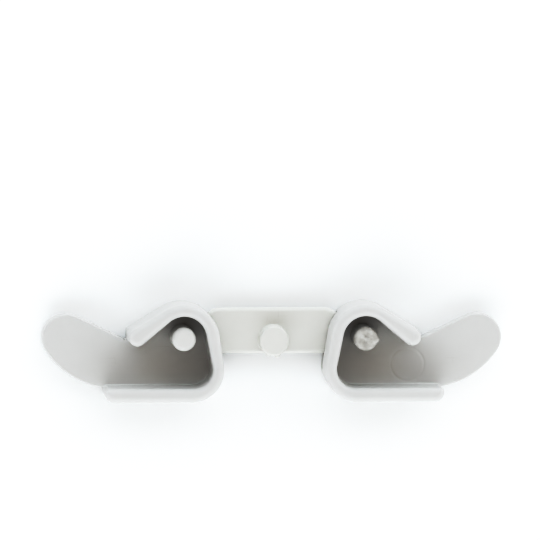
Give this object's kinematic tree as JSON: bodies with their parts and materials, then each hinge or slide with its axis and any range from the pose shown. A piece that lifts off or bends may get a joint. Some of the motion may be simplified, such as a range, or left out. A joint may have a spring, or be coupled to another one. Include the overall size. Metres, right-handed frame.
{
  "type": "stair gate latch",
  "caption": "White moulded latch: hook-shaped jaws with finger tabs swing on pins at the ends of a flat link strap with a round middle stud.",
  "frame": {"origin": "middle of the latch's footprint, on the plane of the two closed faces that it lies on, half way between the two pivot pins in X", "axes": "+X along the latch from the left jaw to the right jaw, +Y from the straight walls towards the rounded apexes of the pockets, +Z out of the open side, along the pins"},
  "size_m": [0.1156, 0.0244, 0.0156],
  "materials": {
    "jaw_white": "cool white injection-moulded plastic with a soft satin surface",
    "link_white": "slightly warmer white moulded plastic, faint sink marks",
    "pin_white": "white moulded plastic, ends left as they came off the sprue"
  },
  "bodies": {
    "link": {"link_strap": "link_white", "centre_stud": "link_white"},
    "right_jaw": {"right_lever_plate": "jaw_white", "right_hook_wall": "jaw_white", "right_pivot_pin": "pin_white"},
    "left_jaw": {"left_lever_plate": "jaw_white", "left_hook_wall": "jaw_white", "left_pivot_pin": "pin_white"}
  },
  "joints": [
    {"name": "right_jaw_swing", "type": "hinge", "parent": "link", "child": "right_jaw", "pos_m": [0.0228, 0.0036, 0], "axis": [0, 0, -1], "range_deg": [0, 20]},
    {"name": "left_jaw_swing", "type": "hinge", "parent": "link", "child": "left_jaw", "pos_m": [-0.0228, 0.0036, 0], "axis": [0, 0, 1], "range_deg": [0, 20]}
  ]
}
